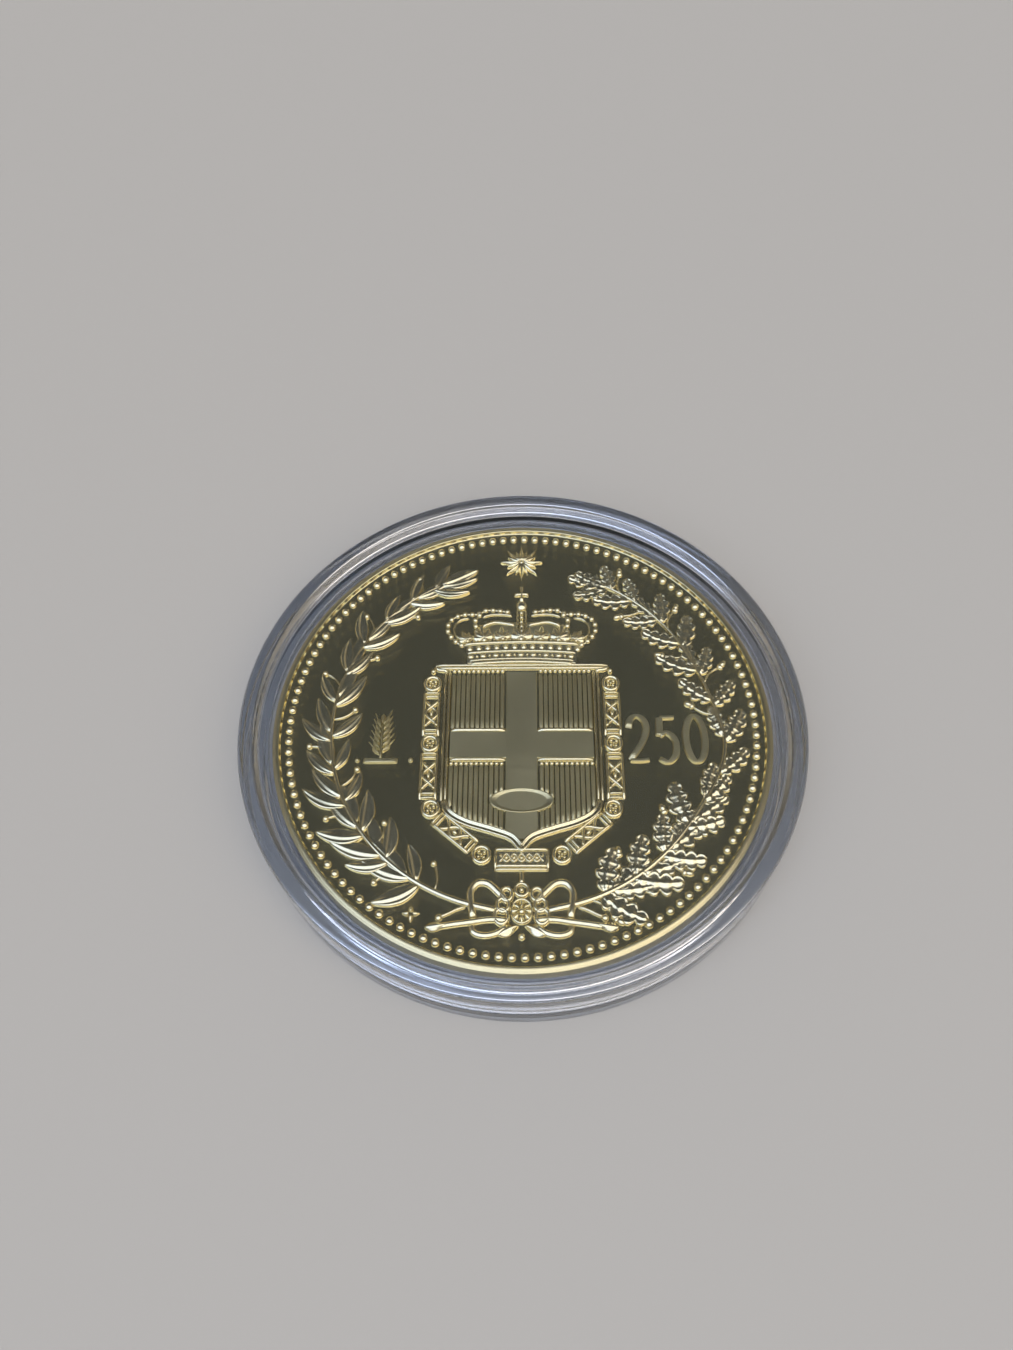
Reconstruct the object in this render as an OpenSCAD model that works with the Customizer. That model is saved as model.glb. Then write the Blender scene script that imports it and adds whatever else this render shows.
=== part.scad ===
// Round snap-together capsule of clear plastic that holds one large coin.
// Millimetres. The origin is the centre of the foot ring's underside, +Z is up through
// the lid's window and +Y is the top of the coin's design.

/* [Coin] */
// Diameter of the coin
coin_d = 35; // [33:0.1:35.2]
// Thickness of the coin over its rims
coin_t = 2.1; // [1.8:0.05:2.6]
// Width of the coin's plain rim
rim_w = 0.55; // [0.4:0.05:0.8]
// Depth of both fields below the rims
field_depth = 0.3; // [0.22:0.01:0.35]
// Height of the raised designs above the fields
relief_h = 0.15; // [0.05:0.01:0.2]
// Width of the shield on the coin's upper face
shield_w = 11.8; // [8:0.1:12]
// Height of the shield without its point
shield_h = 11.6; // [8:0.1:12]

/* [Capsule] */
// Diameter of the closed capsule
capsule_d = 39.2; // [39.2:0.1:44]
// Clearance all round the coin's edge
side_gap = 0.25; // [0.15:0.05:0.4]
// Clearance over the coin when the capsule is closed
top_gap = 0.08; // [0.06:0.01:0.3]
// Thickness of the base's window
base_window_t = 1; // [0.8:0.05:1.5]
// Thickness of the lid's window
lid_window_t = 1.1; // [0.8:0.05:1.5]
// Height of the foot ring below the base's window
foot_h = 0.3; // [0.2:0.05:0.8]
// Height of the stacking lip above the lid's window
lip_h = 0.7; // [0.4:0.05:1]
// Width of the flat tops of the stacking lip and the foot ring
lip_w = 1; // [0.8:0.05:1.2]
// Width of the slope from the lip's top down to the window
lip_slope = 0.3; // [0.1:0.05:0.5]
// Radius of the rounded outer edges
edge_r = 0.28; // [0.1:0.02:0.35]

/* [Closure] */
// Thickness of the base's upright ring, which plugs into the lid
ring_t = 0.8; // [0.6:0.05:0.85]
// Radial clearance between the ring and the lid's skirt
fit_gap = 0.04; // [0.02:0.01:0.1]
// Height of the parting line above the foot
parting_z = 2.4; // [1.8:0.1:2.8]
// Open width of the parting line
parting_gap = 0.05; // [0.02:0.01:0.1]
// Chamfer on the mouths of both halves
mouth_c = 0.12; // [0.05:0.01:0.2]

/* [Hidden] */
$fn = 96;
arc_steps = 5;
rest_gap = 0.02;                                  // air between the coin and each face it meets
coin_r = coin_d / 2;
capsule_r = capsule_d / 2;
seat_z = foot_h + base_window_t;
coin_z = seat_z + rest_gap;
coin_top = coin_z + coin_t;
lid_under_z = coin_top + top_gap;
window_top_z = lid_under_z + lid_window_t;
lip_top_z = window_top_z + lip_h;
ring_in = coin_r + side_gap;
ring_out = ring_in + ring_t;
ring_top_z = lid_under_z - parting_gap;
skirt_in = ring_out + fit_gap;
lip_in = capsule_r - lip_w;
field_r = coin_r - rim_w;
edge_c = 0.15;                                    // chamfer on the coin's edges
bead_w = 0.5;                                     // width of the border's raised line
bead_in = 0.56;                                   // from the rim in to the middle of that line
border_r = field_r - bead_in;
shield_y = 4.95;                                  // top edge of the shield
shield_shoulder = 0.86;                           // share of the height where the sides turn in
shield_flank = 2 / 3;                             // share of the half width over which they do
shield_point = 1.8;                               // drop of the point below the shoulders
point_power = 4;                                  // how sharply the point drops at the middle
foot_steps = 8;
cross_bar = 2.3;                                  // width of both bars of the cross
cross_foot = 0.62;                                // share of the height down to the level bar's foot
outline_w = 0.45;                                 // width of the raised lines on the shield
crown_w = shield_w * 0.62;                        // the band is narrower than the shield
crown_gap = 0.25;
band_h = 1.5;
post_w = 0.8;
post_foot = 1;                                    // the posts start inside the band
post_h = 3.4;
post_fall = 0.3;                                  // each post outwards is lower by this
orb_d = 1.3;
orb_y = 4.9;
wreath_in = 12.3;
wreath_w = 1.6;
wreath_start = 108;                               // upper end of the left half, from +X
wreath_sweep = 158;
star_points = 16;
star_out = 9;
star_in = 4;

// Points of an arc about [x, y], from angle a to angle b
function arc(x, y, r, a, b) =
    [for (i = [0 : arc_steps]) let (t = a + (b - a) * i / arc_steps) [x + r * cos(t), y + r * sin(t)]];

// Outline of a shield with straight sides and a double-curved foot that ends in a point.
// Each half of the foot is a quarter wave, from the side's end to the point.
function shield_outline(w, h, drop) =
    let (half = w / 2, side = h * shield_shoulder,
         foot = [for (i = [0 : foot_steps]) let (t = i / foot_steps)
             [half * (1 - t), -side - (h - side) * sin(90 * min(1, t / shield_flank))
                              - drop * pow(t, point_power)]])
    concat(
        [[half, 0]],
        foot,
        [for (i = [foot_steps - 1 : -1 : 0]) [-foot[i][0], foot[i][1]]],
        [[-half, 0]]
    );

// Outline of a star that alternates between two radii
function star_outline(r_out, r_in, count) =
    [for (i = [0 : 2 * count - 1]) let (r = i % 2 == 0 ? r_out : r_in, a = 90 + 180 * i / count)
        [r * cos(a), r * sin(a)]];

// The lower half: window, foot ring, outer wall up to the parting line and the upright ring
module base() {
    color([0.86, 0.9, 0.93, 0.35])
    rotate_extrude()
    polygon(concat(
        [[0, foot_h], [lip_in - lip_slope, foot_h], [lip_in, 0]],
        arc(capsule_r - edge_r, edge_r, edge_r, -90, 0),
        [[capsule_r, parting_z - mouth_c], [capsule_r - mouth_c, parting_z], [ring_out, parting_z],
         [ring_out, ring_top_z - mouth_c], [ring_out - mouth_c, ring_top_z],
         [ring_in + mouth_c, ring_top_z], [ring_in, ring_top_z - mouth_c],
         [ring_in, seat_z], [0, seat_z]]
    ));
}

// The upper half: window, stacking lip and the skirt that slips over the base's ring
module lid() {
    skirt_z = parting_z + parting_gap;
    color([0.86, 0.9, 0.93, 0.35])
    rotate_extrude()
    polygon(concat(
        [[0, lid_under_z], [skirt_in, lid_under_z], [skirt_in, skirt_z + mouth_c],
         [skirt_in + mouth_c, skirt_z], [capsule_r - mouth_c, skirt_z], [capsule_r, skirt_z + mouth_c]],
        arc(capsule_r - edge_r, lip_top_z - edge_r, edge_r, 0, 90),
        [[lip_in, lip_top_z], [lip_in - lip_slope, window_top_z], [0, window_top_z]]
    ));
}

// The coin's plain disc, with a rim and a border line standing above each field
module blank() {
    low = field_depth;
    high = coin_t - field_depth;
    rotate_extrude()
    polygon([
        [0, low], [border_r - bead_w / 2, low], [border_r - bead_w / 4, low - relief_h],
        [border_r + bead_w / 4, low - relief_h], [border_r + bead_w / 2, low], [field_r, low],
        [field_r, 0], [coin_r - edge_c, 0], [coin_r, edge_c],
        [coin_r, coin_t - edge_c], [coin_r - edge_c, coin_t], [field_r, coin_t],
        [field_r, high], [border_r + bead_w / 2, high], [border_r + bead_w / 4, high + relief_h],
        [border_r - bead_w / 4, high + relief_h], [border_r - bead_w / 2, high], [0, high]
    ]);
}

// Raised outline of the shield with a plain cross between four quarters
module shield() {
    translate([0, shield_y, 0])
    linear_extrude(relief_h) {
        difference() {
            polygon(shield_outline(shield_w, shield_h, shield_point));
            translate([0, -outline_w])
            polygon(shield_outline(shield_w - 2 * outline_w, shield_h - 2 * outline_w, shield_point));
        }
        translate([-cross_bar / 2, -shield_h])
        square([cross_bar, shield_h - outline_w / 2]);
        translate([-shield_w / 2 + outline_w / 2, -shield_h * cross_foot])
        square([shield_w - outline_w, cross_bar]);
    }
}

// Crown over the shield: a band, five posts and a small orb
module crown() {
    translate([0, shield_y + crown_gap, 0])
    linear_extrude(relief_h) {
        translate([-crown_w / 2, 0]) square([crown_w, band_h]);
        for (i = [-2 : 2])
            translate([i * crown_w / 5 - post_w / 2, post_foot])
            square([post_w, post_h - abs(i) * post_fall]);
        translate([0, orb_y]) circle(d = orb_d);
    }
}

// Two half wreaths that climb from the foot of the design on both sides of the shield
module wreath() {
    for (side = [0, 1]) mirror([side, 0, 0])
    rotate([0, 0, wreath_start])
    rotate_extrude(angle = wreath_sweep)
    translate([wreath_in, 0]) square([wreath_w, relief_h]);
}

// The coin: reverse with the crowned shield upwards, a radiant star on the face below
module coin() {
    color([0.8, 0.68, 0.42])
    translate([0, 0, coin_z]) {
        blank();
        translate([0, 0, coin_t - field_depth]) {
            shield();
            crown();
            wreath();
        }
        translate([0, 0, field_depth - relief_h])
        linear_extrude(relief_h)
        polygon(star_outline(star_out, star_in, star_points));
    }
}

base();
lid();
coin();
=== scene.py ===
import math

import bmesh
import bpy
import numpy as np
from mathutils import Matrix, Vector


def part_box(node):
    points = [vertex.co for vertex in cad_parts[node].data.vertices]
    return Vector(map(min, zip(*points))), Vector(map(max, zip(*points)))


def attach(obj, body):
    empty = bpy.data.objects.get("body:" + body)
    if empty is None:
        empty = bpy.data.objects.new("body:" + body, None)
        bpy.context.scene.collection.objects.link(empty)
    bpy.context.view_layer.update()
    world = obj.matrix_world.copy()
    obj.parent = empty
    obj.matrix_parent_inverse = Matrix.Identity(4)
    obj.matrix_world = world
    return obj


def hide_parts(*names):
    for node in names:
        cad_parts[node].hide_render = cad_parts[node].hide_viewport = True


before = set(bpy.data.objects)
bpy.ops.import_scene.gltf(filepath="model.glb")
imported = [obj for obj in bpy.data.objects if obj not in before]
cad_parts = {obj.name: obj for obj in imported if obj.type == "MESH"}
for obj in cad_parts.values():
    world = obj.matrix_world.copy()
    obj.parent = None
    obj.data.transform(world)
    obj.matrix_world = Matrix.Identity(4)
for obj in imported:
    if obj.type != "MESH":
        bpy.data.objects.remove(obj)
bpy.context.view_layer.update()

mm = 0.001  # sizes below are in millimetres, Blender's are in metres
print("frame loaded:", sorted(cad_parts))


# Lower and upper corner of a CAD node's box, in millimetres.
def nodeBox(node):
    return [np.array(corner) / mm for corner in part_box(node)]


baseHigh = nodeBox("base")[1]
lidLow, lidHigh = nodeBox("lid")
coinLow, coinHigh = nodeBox("coin")

capsule = {
    "radius": lidHigh[0],
    "windowBase": 1.0,      # wall thicknesses
    "windowLid": 1.1,
    "foot": 0.3,            # how far the foot ring and the lip stand out
    "lip": 0.7,
    "lipWidth": 1.0,
    "lipSlope": 0.3,
    "ringIn": 17.75,
    "ringOut": 18.55,
    "fitGap": 0.04,
    "parting": 2.4,
    "edgeRadius": 0.28,
    "segments": 320,
}

coin = {
    "radius": coinHigh[0],
    "fieldDepth": 0.3,
    "strike": 1.35,         # how boldly all raised work stands up
    "rimWidth": 0.5,
    "beads": 125,
    "beadRadius": 0.3,
    "beadHeight": 0.19,
    "beadRing": 16.39,      # radius of the ring that the beads stand on
    "reeds": 140,
    "reedDepth": 0.03,
}
fieldZ = coinHigh[2] - coin["fieldDepth"]
midZ = (coinHigh[2] + coinLow[2]) / 2
sink = 0.03  # raised work reaches this far into the field, so no gap shows under it


# Indices of the quads between neighbouring points of a grid, with its last row or column
# joined to its first where it wraps.
def gridQuads(rows, cols, wrapRows, wrapCols):
    i = np.arange(rows if wrapRows else rows - 1)[:, None]
    j = np.arange(cols if wrapCols else cols - 1)[None, :]
    iNext, jNext = (i + 1) % rows, (j + 1) % cols
    corners = [i * cols + j, i * cols + jNext, iNext * cols + jNext, iNext * cols + j]
    return np.stack(corners, -1).reshape(-1, 4)


def addObject(name, data):
    made = bpy.data.objects.new(name, data)
    bpy.context.scene.collection.objects.link(made)
    return made


# One mesh object from several grids. Each grid is (points, wrapRows, wrapCols), and points is
# rows x cols x 3, or copies x rows x cols x 3 for a shape that repeats.
def makePiece(name, grids, material, body, under=False, sharp=None):
    allPoints, allQuads, start = [], [], 0
    for points, wrapRows, wrapCols in grids:
        points = points if points.ndim == 4 else points[None]
        copies, rows, cols = points.shape[:3]
        quads = gridQuads(rows, cols, wrapRows, wrapCols)
        offsets = start + np.arange(copies)[:, None, None] * rows * cols
        allQuads.append((quads[None] + offsets).reshape(-1, 4))
        allPoints.append(points.reshape(-1, 3))
        start += copies * rows * cols
    points, quads = np.concatenate(allPoints), np.concatenate(allQuads)
    if under:  # the same work on the coin's lower face: half a turn about the X direction
        points = points * [1, -1, -1] + [0, 0, 2 * midZ]
    mesh = bpy.data.meshes.new(name)
    mesh.vertices.add(len(points))
    mesh.vertices.foreach_set("co", (points * mm).astype(np.float32).ravel())
    mesh.loops.add(quads.size)
    mesh.loops.foreach_set("vertex_index", quads.astype(np.int32).ravel())
    mesh.polygons.add(len(quads))
    mesh.polygons.foreach_set("loop_start", np.arange(0, quads.size, 4, dtype=np.int32))
    mesh.update(calc_edges=True)
    work = bmesh.new()
    work.from_mesh(mesh)
    bmesh.ops.remove_doubles(work, verts=work.verts, dist=2e-7)
    bmesh.ops.dissolve_degenerate(work, edges=work.edges, dist=1e-8)
    bmesh.ops.recalc_face_normals(work, faces=work.faces)
    work.to_mesh(mesh)
    work.free()
    mesh.polygons.foreach_set("use_smooth", np.ones(len(mesh.polygons), bool))
    if sharp:
        mesh.set_sharp_from_angle(angle=math.radians(sharp))
    mesh.materials.append(material)
    piece = addObject(name, mesh)
    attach(piece, body)
    return piece


# A smooth line through given knots: uniform Catmull-Rom, where each stretch is the cubic
# that leaves a knot along the chord between its neighbours.
def curveThrough(knots, count):
    knots = np.array(knots, float)
    padded = np.concatenate([2 * knots[:1] - knots[1:2], knots, 2 * knots[-1:] - knots[-2:-1]])
    spans = len(knots) - 1
    at = np.linspace(0, spans, count)
    k = np.minimum(at.astype(int), spans - 1)
    t = (at - k)[:, None]
    p0, p1, p2, p3 = (padded[k + n] for n in range(4))
    return 0.5 * (2 * p1 + (p2 - p0) * t + (2 * p0 - 5 * p1 + 4 * p2 - p3) * t**2
                  + (3 * p1 - p0 - 3 * p2 + p3) * t**3)


# Unit normals of a flat path, to the left of its direction.
def leftNormals(path, closed=False):
    if closed:
        along = np.roll(path, -1, 0) - np.roll(path, 1, 0)
    else:
        along = np.gradient(path, axis=0)
    along = along / np.maximum(np.linalg.norm(along, axis=1, keepdims=True), 1e-9)
    return np.stack([-along[:, 1], along[:, 0]], 1)


# A profile carried along a flat path: a point is the path plus its normal times the half width
# times the profile's first number, and its height is the work's height times the second.
def carry(path, halfWidth, height, section, closed=False):
    section = np.array(section, float)
    rows = len(path)
    halfWidth = np.broadcast_to(halfWidth, rows)[:, None]
    height = np.broadcast_to(height, rows)[:, None]
    normals = leftNormals(path, closed)
    flat = path[:, None] + normals[:, None] * (halfWidth * section[:, 0])[..., None]
    z = fieldZ - sink + (height + sink) * section[:, 1]
    return np.concatenate([flat, z[..., None]], -1), closed, True


# A round top: points of half a circle, made fuller by a power of their height.
def roundSection(count=9, power=0.8):
    turn = np.linspace(math.pi, 0, count)
    return np.stack([np.cos(turn), np.sin(turn) ** power], 1)


# sections across a line of work, as shares of its half width and of its height
roundLine, fineLine = roundSection(), roundSection(7)
flatSection = [(-1, 0), (-0.86, 0.75), (-0.74, 0.97), (-0.5, 1), (0.5, 1), (0.74, 0.97), (0.86, 0.75),
               (1, 0)]
slabSection = [(-1, 0), (-0.97, 0.8), (-0.94, 1), (-0.9, 1), (0.9, 1), (0.94, 1), (0.97, 0.8), (1, 0)]
grooveSection = [(-1, 0), (-0.86, 0.8), (-0.62, 1), (-0.36, 0.72), (0, 0.45), (0.36, 0.72), (0.62, 1),
                 (0.86, 0.8), (1, 0)]


# A taper that rises from 0 at both ends of a path and is 1 in between.
def taper(count, share):
    u = np.linspace(0, 1, count)
    return np.clip(np.minimum(u, 1 - u) / share, 0, 1) ** 0.5


# A path carried with a height that is tapered over a share of its length at both ends.
def stroke(path, halfWidth, height, share, section=fineLine):
    return carry(path, halfWidth, height * taper(len(path), share), section)


# A ring of points round a centre, drawn wide and high by its stretch.
def circle(centre, radius, count, stretch=(1, 1)):
    turn = np.linspace(0, 2 * math.pi, count, endpoint=False)
    ring = np.stack([stretch[0] * np.cos(turn), stretch[1] * np.sin(turn)], 1)
    return np.array(centre, float) + radius * ring


# A profile of (radius, height) points turned about an upright axis through each centre.
def spin(profile, segments, centres=((0, 0),), stretch=(1, 1), turn=0):
    profile = np.array(profile, float)
    c, s = math.cos(turn), math.sin(turn)
    ring = circle((0, 0), 1, segments, stretch) @ np.array([[c, s], [-s, c]])
    flat = np.array(centres, float)[:, None, None] + profile[:, 0][None, :, None, None] * ring[None, None]
    z = np.broadcast_to(profile[:, 1][None, :, None, None], flat.shape[:3] + (1,))
    return np.concatenate([flat, z], -1), False, True


# Profile of a closed dome: half an ellipse over a flat underside that is sunk in the field.
def domeProfile(radius, height, rings=5):
    rise = np.linspace(0, math.pi / 2, rings)
    top = np.stack([radius * np.cos(rise), fieldZ + height * np.sin(rise)], 1)
    return np.concatenate([[(0, fieldZ - sink), (radius, fieldZ - sink)], top])


# The same dome at each centre.
def domes(segments, radius, height, centres, rings=5, **shape):
    return spin(domeProfile(radius, height, rings), segments, centres, **shape)


# A colour as the shader wants it, from its sRGB hex value.
def linear(hexColour):
    srgb = np.array([int(hexColour[i:i + 2], 16) for i in (1, 3, 5)]) / 255
    value = np.where(srgb <= 0.04045, srgb / 12.92, ((srgb + 0.055) / 1.055) ** 2.4)
    return (*value, 1.0)


# Adds one node: settings are its properties, and inputs are socket values or other sockets.
def addNode(tree, kind, inputs=None, **settings):
    node = tree.nodes.new(kind)
    for name, value in settings.items():
        setattr(node, name, value)
    for name, value in (inputs or {}).items():
        socket = node.inputs[name]
        if isinstance(value, bpy.types.NodeSocket):
            tree.links.new(value, socket)
        else:
            socket.default_value = value
    return node


def newMaterial(name):
    material = bpy.data.materials.new(name)
    material.use_nodes = True
    material.node_tree.nodes.clear()
    return material, material.node_tree


def perMm(size):
    return 1 / (size * mm)  # a texture's scale for a feature of that size in millimetres


# Gold plate over struck brass. Struck and plated with no after-work, so the die's own polish or
# sandblast is what shows: hair lines on the fields, a fine even grain on frosted work.
# The grain's size and both heights are in millimetres. Past rimFrom, in millimetres from the
# middle, the rim is duller by rimSatin.
def goldPlate(name, colour, roughness, grain, grainHeight, hairHeight=0.0, mottle=0.04, rimFrom=None,
              rimSatin=0.24):
    material, tree = newMaterial(name)
    where = addNode(tree, "ShaderNodeTexCoord").outputs["Object"]
    cloud = addNode(tree, "ShaderNodeTexNoise", {"Vector": where, "Scale": perMm(2.5), "Detail": 3.0})
    tone = addNode(tree, "ShaderNodeMixRGB", {
        "Fac": cloud.outputs["Fac"], "Color1": linear(colour[0]), "Color2": linear(colour[1])})
    satin = addNode(tree, "ShaderNodeMapRange", {
        "Value": cloud.outputs["Fac"], "From Min": 0.3, "From Max": 0.7,
        "To Min": roughness - mottle, "To Max": roughness + mottle})
    gloss = satin.outputs["Result"]
    if rimFrom:
        flat = addNode(tree, "ShaderNodeVectorMath", {0: where, 1: (1, 1, 0)}, operation="MULTIPLY")
        radius = addNode(tree, "ShaderNodeVectorMath", {0: flat.outputs["Vector"]}, operation="LENGTH")
        rim = addNode(tree, "ShaderNodeMapRange", {
            "Value": radius.outputs["Value"], "From Min": rimFrom * mm, "From Max": (rimFrom + 0.05) * mm,
            "To Min": 0.0, "To Max": rimSatin})
        gloss = addNode(tree, "ShaderNodeMath", {0: gloss, 1: rim.outputs["Result"]}, operation="ADD")
        gloss = gloss.outputs["Value"]
    sand = addNode(tree, "ShaderNodeTexNoise", {"Vector": where, "Scale": perMm(grain), "Detail": 2.0})
    stretch = addNode(tree, "ShaderNodeMapping", {
        "Vector": where, "Rotation": (0, 0, 0.5), "Scale": (1.0, 14.0, 1.0)})
    hair = addNode(tree, "ShaderNodeTexNoise", {
        "Vector": stretch.outputs["Vector"], "Scale": perMm(3.0), "Detail": 4.0})
    lines = addNode(tree, "ShaderNodeBump", {
        "Height": hair.outputs["Fac"], "Strength": 1.0, "Distance": hairHeight * mm})
    bump = addNode(tree, "ShaderNodeBump", {
        "Height": sand.outputs["Fac"], "Strength": 1.0, "Distance": grainHeight * mm,
        "Normal": lines.outputs["Normal"]})
    shader = addNode(tree, "ShaderNodeBsdfPrincipled", {
        "Base Color": tone.outputs["Color"], "Metallic": 1.0, "Roughness": gloss,
        "Normal": bump.outputs["Normal"]})
    addNode(tree, "ShaderNodeOutputMaterial", {"Surface": shader.outputs["BSDF"]})
    return material


# Clear polystyrene, injection moulded in a polished tool: glass-like, with a faint flow waviness
# and a little handling haze. Light on its way to or from a matt surface goes straight through
# and is dimmed to the shade's colour at each face.
def clearStyrene(name, tint, shade, roughness):
    material, tree = newMaterial(name)
    where = addNode(tree, "ShaderNodeTexCoord").outputs["Object"]
    haze = addNode(tree, "ShaderNodeTexNoise", {"Vector": where, "Scale": perMm(9.0), "Detail": 5.0})
    gloss = addNode(tree, "ShaderNodeMapRange", {
        "Value": haze.outputs["Fac"], "From Min": 0.35, "From Max": 0.75,
        "To Min": roughness, "To Max": roughness * 3})
    flow = addNode(tree, "ShaderNodeTexNoise", {"Vector": where, "Scale": perMm(5.0), "Detail": 1.0})
    wave = addNode(tree, "ShaderNodeBump", {
        "Height": flow.outputs["Fac"], "Strength": 1.0, "Distance": 0.0003 * mm})
    glass = addNode(tree, "ShaderNodeBsdfPrincipled", {
        "Base Color": linear(tint), "Metallic": 0.0, "Roughness": gloss.outputs["Result"], "IOR": 1.55,
        "Transmission Weight": 1.0, "Normal": wave.outputs["Normal"]})
    clear = addNode(tree, "ShaderNodeBsdfTransparent", {"Color": linear(shade)})
    path = addNode(tree, "ShaderNodeLightPath")
    through = addNode(tree, "ShaderNodeMath", {
        0: path.outputs["Is Shadow Ray"], 1: path.outputs["Is Diffuse Ray"]}, operation="MAXIMUM")
    mixed = addNode(tree, "ShaderNodeMixShader", {
        0: through.outputs["Value"], 1: glass.outputs["BSDF"], 2: clear.outputs["BSDF"]})
    addNode(tree, "ShaderNodeOutputMaterial", {"Surface": mixed.outputs["Shader"]})
    return material


fieldGold = goldPlate("mirrorStruckGold", ("#DACDA0", "#DED2A6"), roughness=0.05, grain=0.05,
                      grainHeight=0.0004, hairHeight=0.0006, mottle=0.015,
                      rimFrom=coin["radius"] - coin["rimWidth"])
reliefGold = goldPlate("struckGold", ("#E0D6B0", "#E6DCB8"), roughness=0.16, grain=0.06, grainHeight=0.0006)
frostGold = goldPlate("frostedGold", ("#CDC398", "#D6CCA2"), roughness=0.4, grain=0.05, grainHeight=0.006)
# Both halves are the same plastic, and the lid's faint tint is the plastic's own. The base's darker, bluer
# tint and shade are painted shade, which darken the near wall and the shadow round its foot.
clearBase = clearStyrene("clearStyreneBase", "#E6E9EF", "#DDE1E7", 0.05)
clearLid = clearStyrene("clearStyreneLid", "#F7F8FA", "#EEF0F3", 0.035)
print("materials made")


# A profile whose corners are rounded: each corner is (radius, height, rounding), and an arc that
# touches both its sides takes its place. Long sides get a point near each end, which keeps them flat.
def roundedProfile(corners, steps=6, hold=0.05):
    line = []
    for n, (x, y, rounding) in enumerate(corners):
        here = np.array([x, y])
        if not rounding:
            line.append(here)
            continue
        before, after = np.array(corners[n - 1][:2]) - here, np.array(corners[n + 1][:2]) - here
        before, after = before / np.linalg.norm(before), after / np.linalg.norm(after)
        half = math.acos(np.clip(before @ after, -1, 1)) / 2
        reach = rounding / math.tan(half)
        middle = here + (before + after) / np.linalg.norm(before + after) * rounding / math.sin(half)
        first, last = here + before * reach - middle, here + after * reach - middle
        sweep = math.atan2(first[0] * last[1] - first[1] * last[0], first @ last)
        turn = sweep * np.linspace(0, 1, steps)
        line.extend(middle + np.stack([first[0] * np.cos(turn) - first[1] * np.sin(turn),
                                       first[0] * np.sin(turn) + first[1] * np.cos(turn)], 1))
    line = np.array(line)
    held = [line[:1]]
    for a, b in zip(line[:-1], line[1:]):
        length = np.linalg.norm(b - a)
        if length > 4 * hold:
            held.append([a + (b - a) * hold / length, b - (b - a) * hold / length])
        held.append(b[None])
    return np.concatenate(held)


# Both halves are turned profiles: widths and wall thicknesses come from the dictionary, and the
# heights of their ends from the frame.
def makeCapsule():
    c = capsule
    outer, lipIn = c["radius"], c["radius"] - c["lipWidth"]
    seat = c["foot"] + c["windowBase"]
    windowTop = lidHigh[2] - c["lip"]
    lidUnder = windowTop - c["windowLid"]
    ringTop, skirt = baseHigh[2], lidLow[2]
    skirtIn = c["ringOut"] + c["fitGap"]
    baseCorners = [(0, c["foot"], 0), (lipIn - c["lipSlope"], c["foot"], 0.15), (lipIn, 0, 0.1),
                   (outer, 0, c["edgeRadius"]), (outer, c["parting"], 0.1),
                   (c["ringOut"], c["parting"], 0.05), (c["ringOut"], ringTop, 0.12),
                   (c["ringIn"], ringTop, 0.2), (c["ringIn"], seat, 0.15), (0, seat, 0)]
    lidCorners = [(0, lidUnder, 0), (skirtIn, lidUnder, 0.12), (skirtIn, skirt, 0.12), (outer, skirt, 0.1),
                  (outer, lidHigh[2], c["edgeRadius"]), (lipIn, lidHigh[2], 0.14),
                  (lipIn - c["lipSlope"], windowTop, 0.16), (0, windowTop, 0)]
    for name, corners, material, slot in (("base", baseCorners, clearBase, "clear_base"),
                                          ("lid", lidCorners, clearLid, "clear_lid")):
        shell = makePiece(name + "_shell", [spin(roundedProfile(corners), c["segments"])], material, name)
        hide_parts(name)


makeCapsule()
print("capsule made")


# A raised piece of the coin's design. Its heights over the field are multiplied by the strike.
def goldPiece(name, grids, material, under=False, sharp=None, strike=coin["strike"]):
    level = np.array([0, 0, fieldZ])
    grids = [((points - level) * [1, 1, strike] + level, *wraps) for points, *wraps in grids]
    piece = makePiece(name, grids, material, "coin", under, sharp)
    return piece


# The struck disc: a turned profile of two sunk fields and two rims that are level inside and fall
# away outwards, with its edge drawn in and out by a cosine of the angle for the reeds, fading
# towards the rims.
def makeBlank():
    c = coin
    edge, high = c["radius"], coinHigh[2]
    inner = edge - c["rimWidth"]
    across = np.linspace(0, 1, 9)
    rimR = inner + 0.06 + across * (c["rimWidth"] - 0.14)
    rimZ = high - 0.08 * np.clip(across - 0.3, 0, 1) ** 2 * 2
    fieldR = np.array([0, 4, 8, 12, 15, inner - 0.12, inner - 0.06, inner - 0.02, inner + 0.03])
    fieldZs = np.array([fieldZ] * 6 + [fieldZ + 0.005, fieldZ + 0.03, high - 0.06])
    edgeR = np.array([edge - 0.035, edge - 0.005, edge, edge, edge])
    edgeZ = np.array([high - 0.07, high - 0.14, high - 0.22, high - 0.5, midZ])
    half = np.stack([np.concatenate([fieldR, rimR, edgeR]), np.concatenate([fieldZs, rimZ, edgeZ])], 1)
    other = half[:-1][::-1] * [1, -1] + [0, 2 * midZ]
    profile = np.concatenate([half, other])
    segments = c["reeds"] * 6
    points, wrapRows, wrapCols = spin(profile, segments)
    angle = np.linspace(0, 2 * math.pi, segments, endpoint=False)
    fade = np.clip((high - 0.14 - midZ - abs(profile[:, 1] - midZ)) / 0.1, 0, 1)
    onEdge = (profile[:, 0] > edge - 0.003) * fade
    pull = 1 - c["reedDepth"] / edge * onEdge[:, None] * (0.5 - 0.5 * np.cos(angle * c["reeds"]))
    points[..., :2] *= pull[None, ..., None]
    blank = goldPiece("coin_blank", [(points, wrapRows, wrapCols)], fieldGold, strike=1)
    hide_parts("coin")


# A point, or a row of points, at a radius and an angle.
def polar(radius, degrees):
    a = np.radians(degrees)
    return np.stack([radius * np.cos(a), radius * np.sin(a)], -1)


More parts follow.
